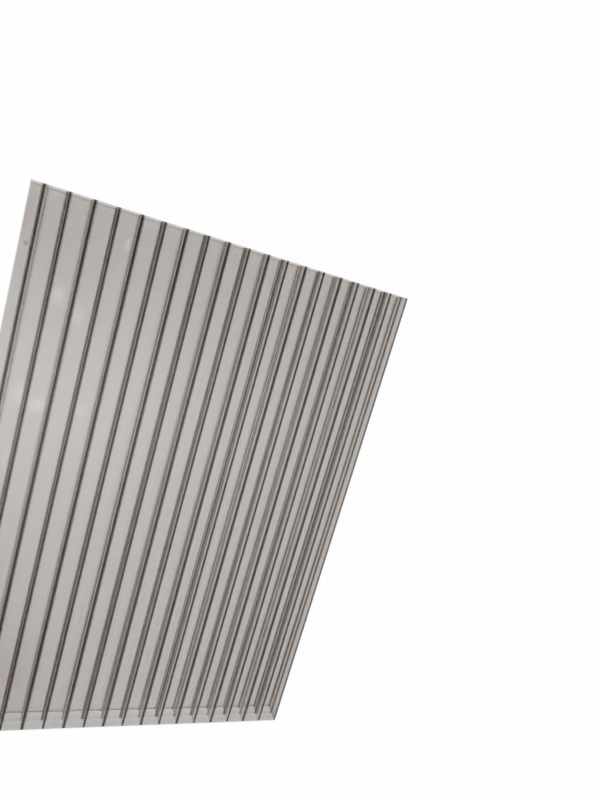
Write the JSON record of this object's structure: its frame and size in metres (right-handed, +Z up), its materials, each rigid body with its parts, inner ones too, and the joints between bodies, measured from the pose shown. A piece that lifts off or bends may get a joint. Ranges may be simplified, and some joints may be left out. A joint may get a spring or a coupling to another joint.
{
  "type": "multiwall polycarbonate sheet",
  "caption": "Flat smoke-grey see-through sheet: parallel walls joined by upright webs into open cells that run from end to end, for light roofing and glazing.",
  "frame": {"origin": "middle of the face that the sheet lies on", "axes": "+Y along the cells, +X across the webs towards the closed edge, +Z up through the thickness towards the weather face"},
  "size_m": [0.2608, 0.363, 0.016],
  "materials": {
    "smoke_grey_polycarbonate": "smooth and glossy as extruded, clear with a smoke-grey tint"
  },
  "bodies": {
    "root": {"triple_wall_sheet": "smoke_grey_polycarbonate"}
  },
  "joints": []
}
